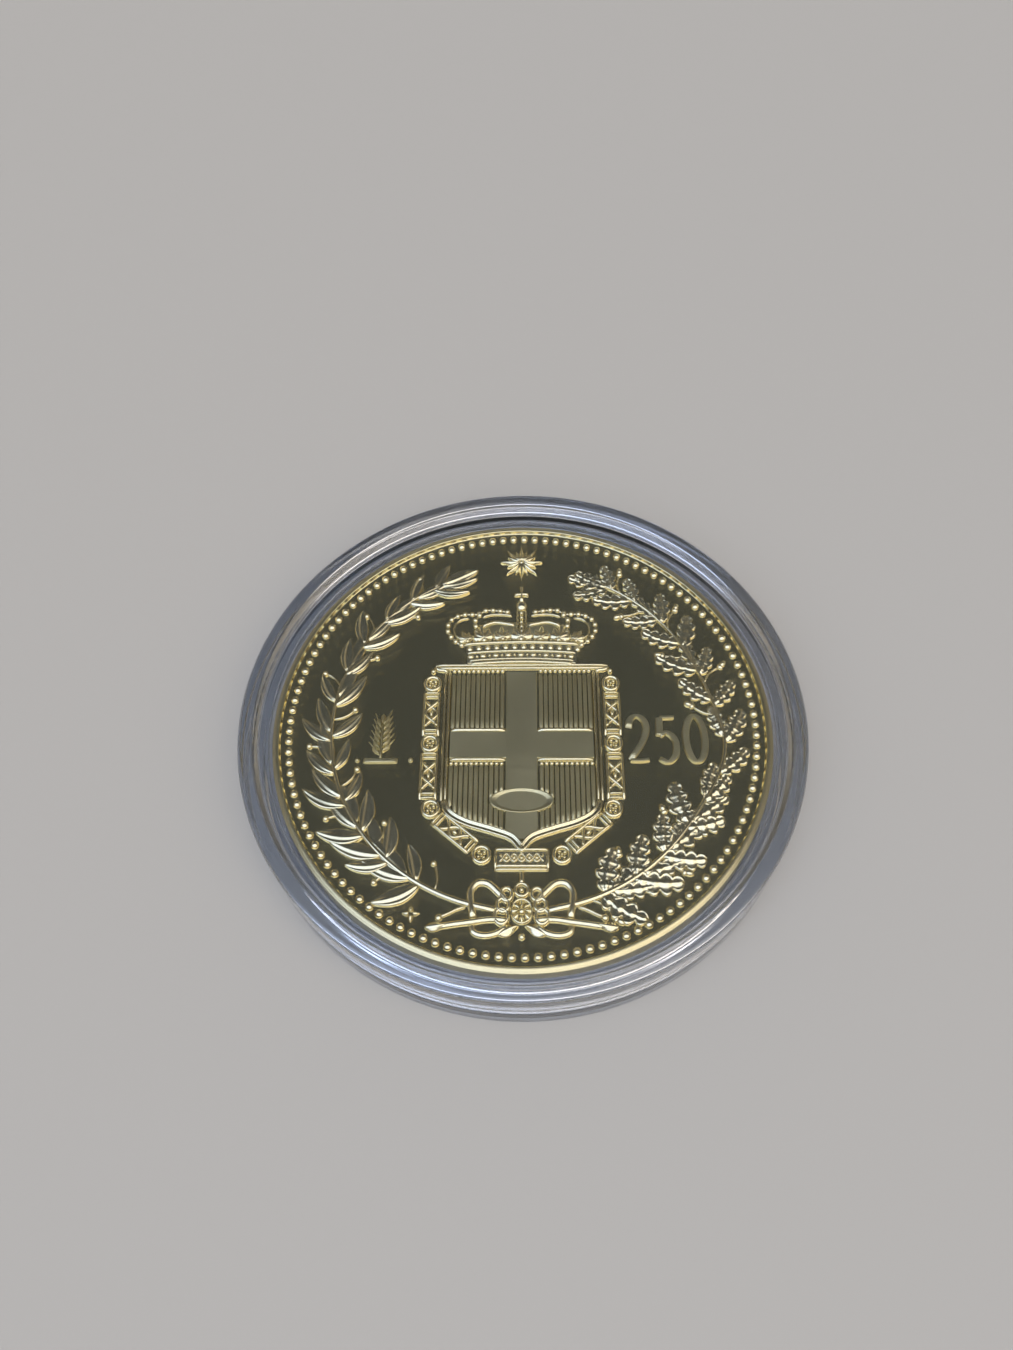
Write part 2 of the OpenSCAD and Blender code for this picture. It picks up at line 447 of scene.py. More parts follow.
# A ring of beads inside the rim.
def makeBeads(under):
    at = polar(coin["beadRing"], np.arange(coin["beads"]) * 360 / coin["beads"])
    beads = domes(12, coin["beadRadius"], coin["beadHeight"], at)
    goldPiece("beads_under" if under else "beads", [beads], reliefGold, under)


makeBlank()
makeBeads(False)
makeBeads(True)
print("coin blank and beads made")


stem = {
    "radius": 13.4,
    "halfWidth": 0.17,
    "height": 0.16,
    "climb": (7, 156),      # where a stem starts and ends, in degrees climbed from the coin's foot
    "bulge": 0.8,           # how far the oak's stem swings out to clear the value
}


# A point of the stem's arc and the direction in which it grows, side being -1 left and 1 right.
# The oak's radius swells by a bell curve of the climb where the value stands beside it.
def stemPoint(climb, side):
    a = math.radians(climb)
    radius = stem["radius"] + (side > 0) * stem["bulge"] * math.exp(-((climb - 82) / 15) ** 2)
    return (np.array([side * radius * math.sin(a), -radius * math.cos(a)]),
            math.atan2(math.sin(a), side * math.cos(a)))


# A leaf on a grid of u along the midrib and v across, from -1 to 1. Its line is a parabola that
# bows by bend, its half width is outline(u), and its height is surface(u, v), brought down to
# the field at the edges by (1 - v^8)^0.5 and at both ends by a taper. A slant draws points forward
# by a share of their distance from the midrib.
def leafGrid(base, direction, length, halfWidth, bend, outline, surface, height, rows=24, cols=15, slant=0):
    u = np.linspace(0, 1, rows)
    along = np.array([math.cos(direction), math.sin(direction)])
    side = np.array([-along[1], along[0]])
    line = base + length * (u[:, None] * along + (4 * bend * u * (1 - u))[:, None] * side)
    v = np.sin(np.linspace(-math.pi / 2, math.pi / 2, cols))
    width = halfWidth * outline(u)
    flat = line[:, None] + leftNormals(line)[:, None] * (width[:, None] * v)[..., None]
    flat = flat + (slant * width[:, None] * np.abs(v))[..., None] * along
    shoulder = np.maximum(1 - v**8, 0) ** 0.5
    ends = np.clip(np.minimum(u, 1 - u) / 0.06, 0, 1) ** 0.5
    cover = shoulder * ends[:, None]
    z = fieldZ - sink + height * surface(u[:, None], v[None]) * cover + sink * np.minimum(cover * 4, 1)
    z[:, [0, -1]] = fieldZ - sink
    return np.concatenate([flat, z[..., None]], -1), False, True


# A slim leaf: a sine made fuller by a power, widest a little below its middle.
def laurelOutline(u):
    return np.sin(math.pi * u**0.9) ** 0.85 + 0.02 * (u < 0.5)


# Two blades that fall from the midrib to a fine raised margin, one a little higher than the other.
def laurelSurface(tilt):
    def surface(u, v):
        blade = 0.98 - 0.7 * np.abs(v) - 0.28 * np.exp(-((np.abs(v) - 0.12) / 0.09) ** 2)
        margin = 0.4 * np.exp(-((np.abs(v) - 0.84) / 0.12) ** 2)
        veins = 0.02 * np.cos(2 * math.pi * (9 * u - 2.2 * np.abs(v)))
        return blade + margin + veins + tilt * v
    return surface


# A sine of the length times the humps of a faster sine, one for each lobe.
def oakOutline(u):
    lobe = 0.32 + 0.72 * np.abs(np.sin(math.pi * oak["lobes"] * u)) ** 0.55
    return np.sin(math.pi * u**0.8) ** 0.5 * lobe + 0.02


# A rounded lobe between each pair of notches: a fine raised margin and midrib, with a side vein
# out to each lobe, over blades that dip between them.
def oakSurface(tilt):
    def surface(u, v):
        dip = 0.62 - 0.12 * np.abs(v)
        margin = 0.36 * np.exp(-((np.abs(v) - 0.86) / 0.12) ** 2)
        rib = 0.42 * np.exp(-(v / 0.12) ** 2)
        vein = 0.14 * np.abs(np.sin(math.pi * (oak["lobes"] * u - 0.2 + 0.2 * np.abs(v)))) ** 6
        return dip + margin + rib + vein + tilt * v
    return surface


# A petal or ray: a roof along its line, highest in the first half.
def raySurface(u, v):
    return (1.0 - np.abs(v)) * (1.15 - 0.5 * u) + 0.15


# A sine that is widest past the middle, with a blunt tip.
def petalOutline(u):
    return np.sin(math.pi * u**1.3) ** 0.7


# A sine that is widest near the foot and drawn out to a point.
def rayOutline(u):
    return np.sin(math.pi * u**0.6) ** 1.1


# A small roof-shaped leaf for petals, rays and grains.
def petal(at, direction, length, halfWidth, height, outline=petalOutline, bend=0, rows=12, cols=9):
    return leafGrid(at, direction, length, halfWidth, bend, outline, raySurface, height, rows, cols)


# A stem thins evenly from foot to tip.
def makeStem(side, count=110):
    path = np.array([stemPoint(climb, side)[0] for climb in np.linspace(*stem["climb"], count)])
    return stroke(path, stem["halfWidth"] * np.linspace(1.3, 0.55, count), stem["height"], 0.03, roundLine)


# Leaves at one node of a branch, drawn to size. No two are alike: waves of the climb and the
# leaf's number change its turn, its length and its tilt, shifted by the branch's drift. Each leaf
# of a node stands a little lower than the one before, so that one clearly lies over the other.
def nodeLeaves(branch, climb, leaves, size):
    side, drift = branch["side"], branch["drift"]
    grids = []
    for n, (turn, length, halfWidth, bend) in enumerate(leaves):
        start, grow = stemPoint(climb + 1.5 * n - 1.5, side)
        sway = math.sin(climb * 0.83 + n * 2.4 + drift)
        direction = grow - side * math.radians(turn + 9 * sway)
        grown = size * (1 + 0.1 * math.sin(climb * 1.31 + n * 1.9 + drift))
        tilt = 0.22 * math.sin(climb * 1.7 + n * 2.1 + drift)
        grids.append(leafGrid(start, direction, length * grown, halfWidth * grown, bend * side,
                              branch["outline"], branch["surface"](tilt), branch["height"] * (1 - 0.1 * n),
                              **branch["grid"]))
    return grids


# Petals round a centre, their lengths in turn, with their feet on a ring.
def rays(centre, ring, lengths, count, halfWidth, height, outline=petalOutline, first=90, rows=12):
    grids = []
    for n in range(count):
        angle = first + 360 / count * n
        grids.append(petal(centre + polar(ring, angle), math.radians(angle), lengths[n % len(lengths)],
                           halfWidth, height, outline, rows=rows))
    return grids


# Fruit on a thin curved stalk: a round berry, or an acorn with a longer nut in a round cup.
def fruit(climb, side, turn, length, acorn):
    start, grow = stemPoint(climb, side)
    direction = grow - side * math.radians(turn)
    along = np.array([math.cos(direction), math.sin(direction)])
    across = np.array([-along[1], along[0]]) * side
    u = np.linspace(0, 1, 12)[:, None]
    stalk = start + length * (u * along + 0.12 * np.sin(math.pi * u) * across)
    end = start + length * along
    grids = [stroke(stalk, 0.08, 0.1, 0.15)]
    if acorn:
        nut = end + 0.3 * along
        grids.append(domes(14, 1, 0.2, [nut], stretch=(0.34, 0.22), turn=direction))
        grids.append(domes(14, 1, 0.16, [end], stretch=(0.2, 0.27), turn=direction))
    else:
        grids.append(domes(14, 0.23, 0.2, [end]))
    return grids


# Nodes are where leaves leave the stem, in degrees climbed, and steps are where the next of the
# sets takes over. A set is the leaves of one node, each (turn outwards, length, half width, bend).
laurel = {
    "side": -1,
    "nodes": (31, 42, 53, 64, 75, 86, 98, 109, 120, 131, 142, 151),
    "steps": (60, 95),
    "sets": (((46, 3.4, 0.6, -0.06), (-46, 3.0, 0.54, 0.07), (19, 3.6, 0.58, -0.04), (-18, 3.4, 0.54, 0.04)),
             ((38, 3.3, 0.56, -0.06), (-42, 2.8, 0.5, 0.07), (14, 3.4, 0.56, -0.04)),
             ((-30, 3.5, 0.56, 0.05), (28, 3.2, 0.54, -0.05), (-4, 3.4, 0.54, 0.02))),
    "thinned": 0,           # leaves left out at every other node
    "outline": laurelOutline,
    "surface": laurelSurface,
    "grid": {},
    "height": 0.21,
    "shrink": 0.015,        # how much smaller each node is than the one before
    "drift": 0.0,
    "tip": (153, 3.2, 0.55),  # climb, length and half width of the last leaf
    "fruitDrop": 6,         # degrees from a node down to its fruit
    "fruitTurns": (-62, 58),
    "stalk": 1.9,
    "acorns": False,
    "noFruit": (0, 0),      # no fruit between these climbs
}
oak = {
    "side": 1,
    "nodes": (24, 34, 45, 56, 66, 76, 86, 98, 109, 120, 131, 142, 151),
    "steps": (62, 90),
    "sets": (((44, 3.1, 0.8, -0.05), (-44, 3.1, 0.8, 0.06), (14, 3.2, 0.72, -0.03), (-14, 3.0, 0.7, 0.03)),
             ((24, 3.0, 0.75, -0.06), (-14, 2.6, 0.62, 0.04)),
             ((38, 2.9, 0.75, -0.05), (-44, 3.3, 0.8, 0.06), (-4, 3.0, 0.65, 0.03))),
    "thinned": 1,
    "outline": oakOutline,
    "surface": oakSurface,
    "lobes": 4,
    "grid": {"rows": 44, "cols": 17, "slant": 0.15},
    "height": 0.17,
    "shrink": 0.012,
    "drift": 1.0,
    "tip": (151, 2.8, 0.75),
    "fruitDrop": 5,
    "fruitTurns": (56, -64),
    "stalk": 2.1,
    "acorns": True,
    "noFruit": (60, 90),
}


# A branch is its stem, the leaves of every node, a fruit by each node, now on one side of the
# stem and now on the other, and one leaf at the tip.
def makeBranch(name, branch):
    b, side = branch, branch["side"]
    grids = [makeStem(side)]
    for n, climb in enumerate(b["nodes"]):
        size = 1.0 - b["shrink"] * n
        leaves = b["sets"][np.searchsorted(b["steps"], climb)]
        grids += nodeLeaves(b, climb, leaves[:len(leaves) - n % 2 * b["thinned"]], size)
        if not b["noFruit"][0] < climb < b["noFruit"][1]:
            turn = b["fruitTurns"][n % 2]
            grids += fruit(climb - b["fruitDrop"], side, turn, b["stalk"] * size, b["acorns"])
    climb, length, halfWidth = b["tip"]
    start, grow = stemPoint(climb, side)
    grids.append(leafGrid(start, grow, length, halfWidth, 0.03, b["outline"], b["surface"](0.1), b["height"],
                          **b["grid"]))
    goldPiece(name, grids, reliefGold)


makeBranch("laurel_branch", laurel)
makeBranch("oak_branch", oak)
print("wreath made")


shield = {
    "half": 5.1,            # half its width
    "top": 4.3,
    "side": -5.7,           # where the straight sides end
    "point": -8.9,
    "barHalf": 1.12,        # half the width of the cross's upright bar
    "barTop": -0.42,        # the cross's level bar runs between these two
    "barLow": -2.72,
    "ribs": 11,             # upright ribs in each quarter
    "ribPitch": 0.35,
    "ribHalf": 0.15,
    "ribStart": 0.36,       # how far under a line the ribs start, with a tooth in between
    "ovalY": -5.8,          # sunk oval low on the shield
    "oval": (2.1, 0.86),
}


# The right half of the shield's foot: a shoulder, and a flank that turns in to the point.
def shieldFoot(grow=0.0, count=30):
    s = shield
    knots = [(s["half"] + grow, s["side"]), (s["half"] - 0.35 + grow * 0.8, s["side"] - 0.85 - grow * 0.4),
             (s["half"] - 1.4 + grow * 0.4, s["side"] - 1.45 - grow * 0.9),
             (2.0, s["side"] - 2.0 - grow), (0.7, s["side"] - 2.5 - grow), (0.0, s["point"] - grow * 1.4)]
    return curveThrough(knots, count)


def shieldOutline():
    foot = shieldFoot()
    top = np.array([[shield["half"], shield["top"]]])
    return np.concatenate([top, foot, foot[::-1][1:] * [-1, 1], top * [-1, 1]])


# Straight stretch between two points, as a path.
def straight(start, end, count):
    share = np.linspace(0, 1, count)[:, None]
    return np.array(start, float) * (1 - share) + np.array(end, float) * share


# The outline drawn in towards the shield's middle in steps, under a low bevel.
def makeShieldPlate():
    plate = shieldOutline()
    middle = np.array([0, -1.5])
    dense = np.concatenate([straight(a, b, 7)[:-1] for a, b in zip(plate, np.roll(plate, -1, 0))])
    shares = np.array([0, 1, 1, 0.985, 0.96, 0.6, 0])[:, None, None]
    heights = np.array([-sink, -sink, 0.0, 0.015, 0.02, 0.02, 0.02])
    flat = middle + (dense - middle)[None] * shares
    z = np.broadcast_to((fieldZ + heights)[:, None, None], flat.shape[:2] + (1,))
    goldPiece("shield_plate", [(np.concatenate([flat, z], -1), False, True)], fieldGold, sharp=40)


# A grooved border round the foot, widening below the sides, two fine lines up each side, a
# small scroll at both upper corners and two bars along the top.
def makeShieldFrame():
    s = shield
    half = shieldFoot(0.24, 44)
    border = np.concatenate([half, half[::-1][1:] * [-1, 1]])
    width = 0.2 + 0.09 * np.clip((s["side"] - border[:, 1]) / 0.8, 0, 1)
    grids = [stroke(border, width, 0.2, 0.03, grooveSection)]
    for sign in (-1, 1):
        for out in (0.1, 0.38):
            x = sign * (s["half"] + out)
            grids.append(stroke(straight((x, s["top"] + 0.1), (x, s["side"] - 0.1), 14), 0.11, 0.17, 0.03))
        corner = curveThrough([(5.35, 4.3), (5.6, 4.45), (6.0, 4.5), (6.3, 4.75)], 14) * [sign, 1]
        grids.append(stroke(corner, 0.16, 0.16, 0.12, roundLine))
    for y, width, height in ((4.88, 0.1, 0.12), (4.62, 0.11, 0.14)):
        grids.append(stroke(straight((-6.25, y), (6.25, y), 30), width, height, 0.02, roundLine))
    goldPiece("shield_frame", grids, reliefGold)


# Lowest point of the frame's inside at a given distance from the shield's middle line.
def footAt(x):
    foot = shieldFoot(-0.1, 60)
    return np.interp(abs(x), foot[::-1, 0], foot[::-1, 1])


# Ribs stop short of the lines above them to leave room for a row of teeth, and part round the oval,
# whose half height at a rib comes from the ellipse's formula.
def makeQuarters():
    s = shield
    ribs, lines, teeth = [], [], []
    ribSection = roundSection(7, 0.6)
    across, up = s["oval"]
    for sign in (-1, 1):
        for n in range(s["ribs"]):
            x = sign * (s["barHalf"] + 0.26 + n * s["ribPitch"])
            foot = footAt(x) - 0.15
            start = s["barLow"] - s["ribStart"]
            if abs(x) < across:
                reach = up * math.sqrt(1 - (x / across) ** 2)
                low = [(start, s["ovalY"] + reach), (s["ovalY"] - reach, foot)]
            else:
                low = [(start, foot)]
            for top, end in [(s["top"] + 0.3 - s["ribStart"], s["barTop"])] + low:
                ribs.append(stroke(straight((x, top), (x, end), 12), s["ribHalf"], 0.08, 0.03, ribSection))
            teeth += [(x, s["top"] + 0.12), (x, s["barLow"] - 0.28)]
        for y, width in ((s["barTop"], 0.17), (s["barLow"], 0.13)):
            line = straight((sign * (s["barHalf"] - 0.05), y), (sign * (s["half"] - 0.1), y), 14)
            lines.append(stroke(line, width, 0.17, 0.04, roundLine))
    lines.append(domes(10, 0.155, 0.12, teeth))
    goldPiece("shield_ribs", ribs, frostGold)
    goldPiece("shield_lines", lines, reliefGold)


# The bars of the cross are low slabs, the lowest one narrowing to the shield's point, and the
# oval over them is a dish with a raised edge.
def makeCross():
    s = shield
    half, ovalHalf = s["barHalf"], s["oval"][1] - 0.08
    level = (s["barTop"] + s["barLow"]) / 2
    halfLevel = (s["barTop"] - s["barLow"]) / 2 - 0.1
    upper = straight((0, s["top"]), (0, s["ovalY"] + ovalHalf), 10)
    lower = straight((0, s["ovalY"] - ovalHalf), (0, s["point"] + 0.35), 12)
    narrowing = np.minimum(half, (lower[:, 1] - s["point"] - 0.15) * 1.35)
    grids = [carry(upper, half, 0.09, slabSection), carry(lower, narrowing, 0.09, slabSection)]
    for sign in (-1, 1):
        arm = straight((sign * (half - 0.1), level), (sign * (s["half"] - 0.1), level), 8)
        grids.append(carry(arm, halfLevel, 0.085, slabSection))
    goldPiece("shield_cross", grids, frostGold, sharp=30)
    dish = np.array([(0, -sink), (1.04, -sink), (1.04, 0.11), (1.0, 0.13), (0.96, 0.12), (0.84, 0.05),
                     (0.8, 0.045), (0.77, 0.045), (0, 0.045)]) + [0, fieldZ]
    goldPiece("shield_oval", [spin(dish, 64, [(0, s["ovalY"])], stretch=s["oval"])], frostGold)


makeShieldPlate()
makeShieldFrame()
makeQuarters()
makeCross()
print("shield made")


crown = {
    "foot": 5.15,           # height of the band's lower edge on the middle line
    "half": 3.8,            # half the band's width
    "sag": 0.2,             # how far the band's ends hang down
    "pearl": 0.21,          # radius of the arches' pearls, and the step from one to the next
    "pearlStep": 0.55,
}


# Points every so often along a path.
def spaced(path, step):
    reach = np.concatenate([[0], np.cumsum(np.linalg.norm(np.diff(path, axis=0), axis=1))])
    at = np.arange(step / 2, reach[-1], step)
    return np.stack([np.interp(at, reach, path[:, 0]), np.interp(at, reach, path[:, 1])], 1)


# A level line of the band: a parabola that sags towards its ends, spread with its height.
def bandLine(up, count=40):
    c = crown
    x = np.linspace(-1, 1, count)
    return np.stack([x * (c["half"] + 0.25 * up), c["foot"] + up - c["sag"] * x**2], 1)


# Five petals and a pearl under them, at a point, the middle petal pointing along lean degrees.
def fleuron(at, lean, size):
    at = np.array(at, float)
    grids = [domes(12, 0.16 * size, 0.16, [at])]
    for spread, length in ((-66, 0.6), (-33, 0.72), (0, 0.95), (33, 0.72), (66, 0.6)):
        grids.append(petal(at, math.radians(90 - lean + spread), length * size, 0.2 * size, 0.16))
    return grids


# A jewelled band under seven fleurons, a low cap, two rows of pearls and thin linings on each
# side, a post with beads, and a cross on an orb.
def makeCrown():
    c = crown
    grids = [carry(bandLine(0.9), 0.85, 0.05, slabSection)]
    for up, width, height in ((0.0, 0.12, 0.17), (0.3, 0.09, 0.12), (0.95, 0.1, 0.14), (1.7, 0.12, 0.16)):
        grids.append(stroke(bandLine(up), width, height, 0.03))
    jewels, flowers = spaced(bandLine(0.62), 0.46), spaced(bandLine(1.32), 0.66)
    grids.append(domes(12, 1, 0.16, jewels[::2], stretch=(0.27, 0.19)))
    grids.append(domes(10, 0.13, 0.15, jewels[1::2]))
    grids.append(domes(12, 0.24, 0.13, flowers))
    grids.append(domes(8, 0.1, 0.17, flowers))
    grids.append(domes(8, 0.09, 0.16, spaced(bandLine(1.92), 0.3)))
    for x, size, lean in ((0, 1.6, 0), (1.4, 1.2, 6), (2.75, 1.5, 14), (4.0, 1.1, 26)):
        y = c["foot"] + 2.05 - c["sag"] * (x / c["half"]) ** 2
        for sign in (-1, 1) if x else (1,):
            grids += fleuron((sign * x, y), sign * lean, size)
    cap = curveThrough([(-3.0, 7.75), (-1.7, 8.0), (0, 8.05), (1.7, 8.0), (3.0, 7.75)], 40)
    goldPiece("crown_cap", [carry(cap, 0.62 * taper(40, 0.2), 0.045, roundSection(9, 0.4))], frostGold)
    pearls = []
    for sign in (-1, 1):
        side = [sign, 1]
        outer = curveThrough([(4.2, 6.5), (5.0, 7.1), (5.5, 8.0), (5.25, 8.9), (4.4, 9.35), (3.3, 9.4),
                              (2.6, 9.75), (1.7, 9.7), (0.8, 9.55)], 60) * side
        inner = curveThrough([(3.4, 7.5), (3.35, 8.1), (3.5, 8.7), (3.15, 9.3)], 24) * side
        rim = curveThrough([(0.5, 8.35), (1.2, 8.5), (2.0, 8.6), (2.9, 8.3)], 20) * side
        lining = curveThrough([(4.3, 7.0), (4.9, 7.5), (5.0, 8.2), (4.6, 8.8), (3.9, 9.0)], 30) * side
        under = curveThrough([(2.9, 9.1), (2.2, 9.3), (1.4, 9.3), (0.7, 9.2)], 20) * side
        for line, width, height in ((outer, 0.09, 0.03), (inner, 0.09, 0.03), (rim, 0.13, 0.14),
                                    (lining, 0.08, 0.11), (under, 0.08, 0.11)):
            grids.append(stroke(line, width, height, 0.06))
        pearls += [spaced(outer, c["pearlStep"]), spaced(inner, c["pearlStep"])]
    grids.append(domes(12, c["pearl"], 0.14, np.concatenate(pearls), 6))
    post = straight((0, 7.2), (0, 9.75), 16)
    for sign in (-1, 1):
        grids.append(stroke(post + [sign * 0.32, 0], 0.09, 0.14, 0.06))
    grids.append(domes(10, 0.17, 0.19, spaced(post, 0.4)))
    grids.append(domes(20, 0.42, 0.2, [(0, 10.1)], 7))
    flare = 0.1 + 0.1 * np.abs(np.linspace(-1, 1, 11)) ** 1.5  # the cross's arms widen to their ends
    for start, end in (((0, 10.45), (0, 11.9)), ((-0.55, 11.1), (0.55, 11.1))):
        grids.append(stroke(straight(start, end, 11), flare, 0.17, 0.08, roundLine))
    goldPiece("crown", grids, reliefGold)


makeCrown()
print("crown made")


collar = {
    "x": 6.4,               # from the middle line to the links beside the shield
    "rail": 0.52,           # half the width of a long link
    "round": 0.54,          # radius of a round one
    "height": 0.15,
}


# A round link: a ring with four small pearls and a middle one inside it.
def roundLink(at):
    return [carry(circle(at, collar["round"], 28), 0.15, 0.19, roundLine, closed=True),
            domes(10, 0.13, 0.16, circle(at, 0.25, 28)[3::7]),
            domes(10, 0.11, 0.18, [at])]


# A long link between two points: two rails, bars at its ends and a twist of two crossing strands
# round a lozenge in the middle. A strand's distance from the middle line is a cosine.
def longLink(start, end):
    start, end = np.array(start, float), np.array(end, float)
    along = (end - start) / np.linalg.norm(end - start)
    across = np.array([-along[1], along[0]])
    half, height = collar["rail"], collar["height"]
    u = np.linspace(0, 1, 40)[:, None]
    grids = []
    for sign in (-1, 1):
        grids.append(stroke(straight(start, end, 16) + sign * half * across, 0.12, height * 1.2, 0.03))
        strand = start + (end - start) * (0.2 + 0.6 * u)
        strand = strand + sign * (half - 0.12) * np.cos(2 * math.pi * u) * across
        grids.append(stroke(strand, 0.12, 0.14 + 0.02 * sign, 0.05))
    for place in (0.03, 0.12, 0.88, 0.97):
        middle = start + (end - start) * place
        grids.append(stroke(straight(middle - half * across, middle + half * across, 8), 0.09, height, 0.1))
    turn = math.atan2(along[1], along[0])
    grids.append(domes(12, 1, 0.16, [(start + end) / 2], stretch=(0.26, 0.14), turn=turn))
    return grids


# Round and long links down both sides of the shield and in to the middle, where the lowest link
# is a low plate with a wave of scrolls between its rails.
def makeCollar():
    x = collar["x"]
    grids = []
    for sign in (-1, 1):
        for at in ((x, 3.3), (x, -1.5), (6.15, -6.4), (2.65, -9.65)):
            grids += roundLink((sign * at[0], at[1]))
        grids += longLink((sign * x, 2.65), (sign * x, -0.85))
        grids += longLink((sign * x, -2.15), (sign * x, -5.7))
        grids += longLink((sign * 5.75, -7.0), (sign * 3.2, -9.15))
        grids.append(domes(12, 0.2, 0.2, [(sign * x, 4.35)]))
    grids.append(carry(straight((-1.7, -9.9), (1.7, -9.9), 10), 0.5, 0.05, slabSection))
    for y, width in ((-9.3, 0.12), (-10.42, 0.14), (-10.68, 0.1)):
        grids.append(stroke(straight((-1.8, y), (1.8, y), 16), width, 0.17, 0.04))
    for x in (-1.72, 1.72):
        grids.append(stroke(straight((x, -9.25), (x, -10.6), 8), 0.11, 0.16, 0.1))
    wave = np.linspace(-1.5, 1.5, 50)
    for sign in (-1, 1):
        scroll = np.stack([wave, -9.87 + sign * 0.26 * np.cos(2 * math.pi * wave)], 1)
        grids.append(stroke(scroll, 0.09, 0.13 + 0.01 * sign, 0.03))
    grids.append(domes(10, 0.16, 0.16, [(x, -9.87) for x in (-1, -0.5, 0, 0.5, 1)]))
    goldPiece("collar", grids, reliefGold)


# Under the collar hangs a plain ring, and a rosette of petals below it.
def makePendant():
    ring, rosette = (0, -12.05), (0, -13.45)
    grids = [stroke(straight((0, -10.7), (0, -11.7), 8), 0.17, 0.15, 0.15),
             carry(circle(ring, 0.42, 28), 0.13, 0.18, roundLine, closed=True),
             domes(12, 0.17, 0.18, [ring]),
             domes(12, 0.24, 0.2, [rosette]),
             carry(circle(rosette, 0.78, 28, (0.85, 1)), 0.1, 0.16, fineLine, closed=True)]
    grids += rays(rosette, 0.2, [0.6], 8, 0.2, 0.17)
    goldPiece("pendant", grids, reliefGold)


makeCollar()
makePendant()
print("collar made")


# The ribbon: a loop above and below on each side, a tail that ends in a bud, a small strand with
# a bead, and a knot of three stacked rings and a drop beside the pendant.
def makeBow():
    grids = []
    for sign in (-1, 1):
        side = np.array([sign, 1])
        loop = curveThrough([(0.85, -12.9), (1.5, -12.2), (2.2, -11.6), (2.9, -11.6), (3.3, -12.2),
                             (3.25, -13.0), (3.1, -13.9)], 44) * side
        low = curveThrough([(0.9, -14.4), (1.6, -14.85), (2.4, -15.0), (3.05, -14.8), (3.2, -14.3)], 30)
        tail = curveThrough([(0.8, -14.05), (2.0, -13.98), (3.3, -14.15), (4.4, -14.3), (5.2, -14.42)], 40)
        low, tail = low * side, tail * side
        strand = curveThrough([(3.6, -13.15), (4.2, -13.35), (4.8, -13.65), (5.2, -13.8)], 16) * side
        for line, width, height in ((loop, 0.26, 0.19), (low, 0.22, 0.16), (tail, 0.22, 0.19)):
            grids.append(stroke(line, width, height, 0.05, roundLine))
            grids.append(stroke(line, 0.07, height + 0.02, 0.08, roundSection(5)))
        grids.append(stroke(strand, 0.12, 0.14, 0.1))
        grids.append(domes(12, 0.26, 0.19, [(sign * 5.3, -13.85)]))
        grids.append(petal(tail[-7], math.atan2(-0.12, sign), 1.5, 0.36, 0.22, rows=16))
        for x, y, r in ((0.98, -12.35, 0.36), (1.2, -13.05, 0.38), (1.3, -13.8, 0.42)):
            grids.append(carry(circle((sign * x, y), r, 24, (1, 1.15)), 0.16, 0.2, roundLine, closed=True))
        drop = np.array([sign * 0.15, -14.45])
        grids.append(petal(drop, math.atan2(-0.45, sign), 1.5, 0.42, 0.21, bend=0.08 * sign, rows=16,
                           cols=11))
    grids.append(domes(14, 0.24, 0.2, [(0, -15.1)]))
    goldPiece("bow", grids, reliefGold)


star = {"at": (0, 14.1), "rays": 16, "lengths": (1.6, 1.15)}


# A star over the crown: roof-shaped rays, long and short in turn.
def makeStar():
    grids = [domes(12, 0.22, 0.2, [star["at"]])]
    grids += rays(star["at"], 0.08, star["lengths"], star["rays"], 0.24, 0.2, rayOutline)
    goldPiece("star", grids, reliefGold)


numeral = {
    "low": -2.95,
    "height": 3.6,
    "width": 1.5,
    "step": 1.98,           # from one figure to the next
    "first": 7.4,
    "thick": 0.27,          # half widths of upright and level strokes
    "thin": 0.13,
}


# A plain round value in three serif figures. Each figure is lines in a unit square, and a line
# swells where it runs upright: its half width goes from thin to thick with the slope.
def makeValue(count=40):
    n = numeral
    nought = circle((0.5, 0.5), 0.44, count, (1, 1.12))
    figures = [
        [[(0.06, 0.74), (0.16, 0.92), (0.48, 1.0), (0.82, 0.88), (0.86, 0.66), (0.6, 0.38), (0.08, 0.05)],
         [(0.06, 0.04), (0.5, 0.03), (0.96, 0.05)]],
        [[(0.2, 0.96), (0.55, 0.96), (0.9, 0.97)], [(0.2, 0.96), (0.18, 0.8), (0.15, 0.56)],
         [(0.15, 0.56), (0.5, 0.63), (0.88, 0.46), (0.86, 0.16), (0.5, 0.0), (0.08, 0.08)]],
        [nought],
    ]
    grids = []
    for place, figure in enumerate(figures):
        for line in figure:
            closed = line is nought
            path = line if closed else curveThrough(line, count)
            path = path * [n["width"], n["height"]] + [n["first"] + place * n["step"], n["low"]]
            upright = np.abs(leftNormals(path, closed)[:, 0]) ** 1.2
            width = n["thin"] + (n["thick"] - n["thin"]) * upright
            ends = 1.0 if closed else taper(count, 0.04)
            grids.append(carry(path, width, 0.15 * ends, flatSection, closed=closed))
    goldPiece("value", grids, frostGold, sharp=50)


ear = {
    "foot": (-9.8, -2.8),
    "bar": 1.2,             # half its length
    "stalk": 2.9,
    "pairs": 6,             # pairs of grains
}


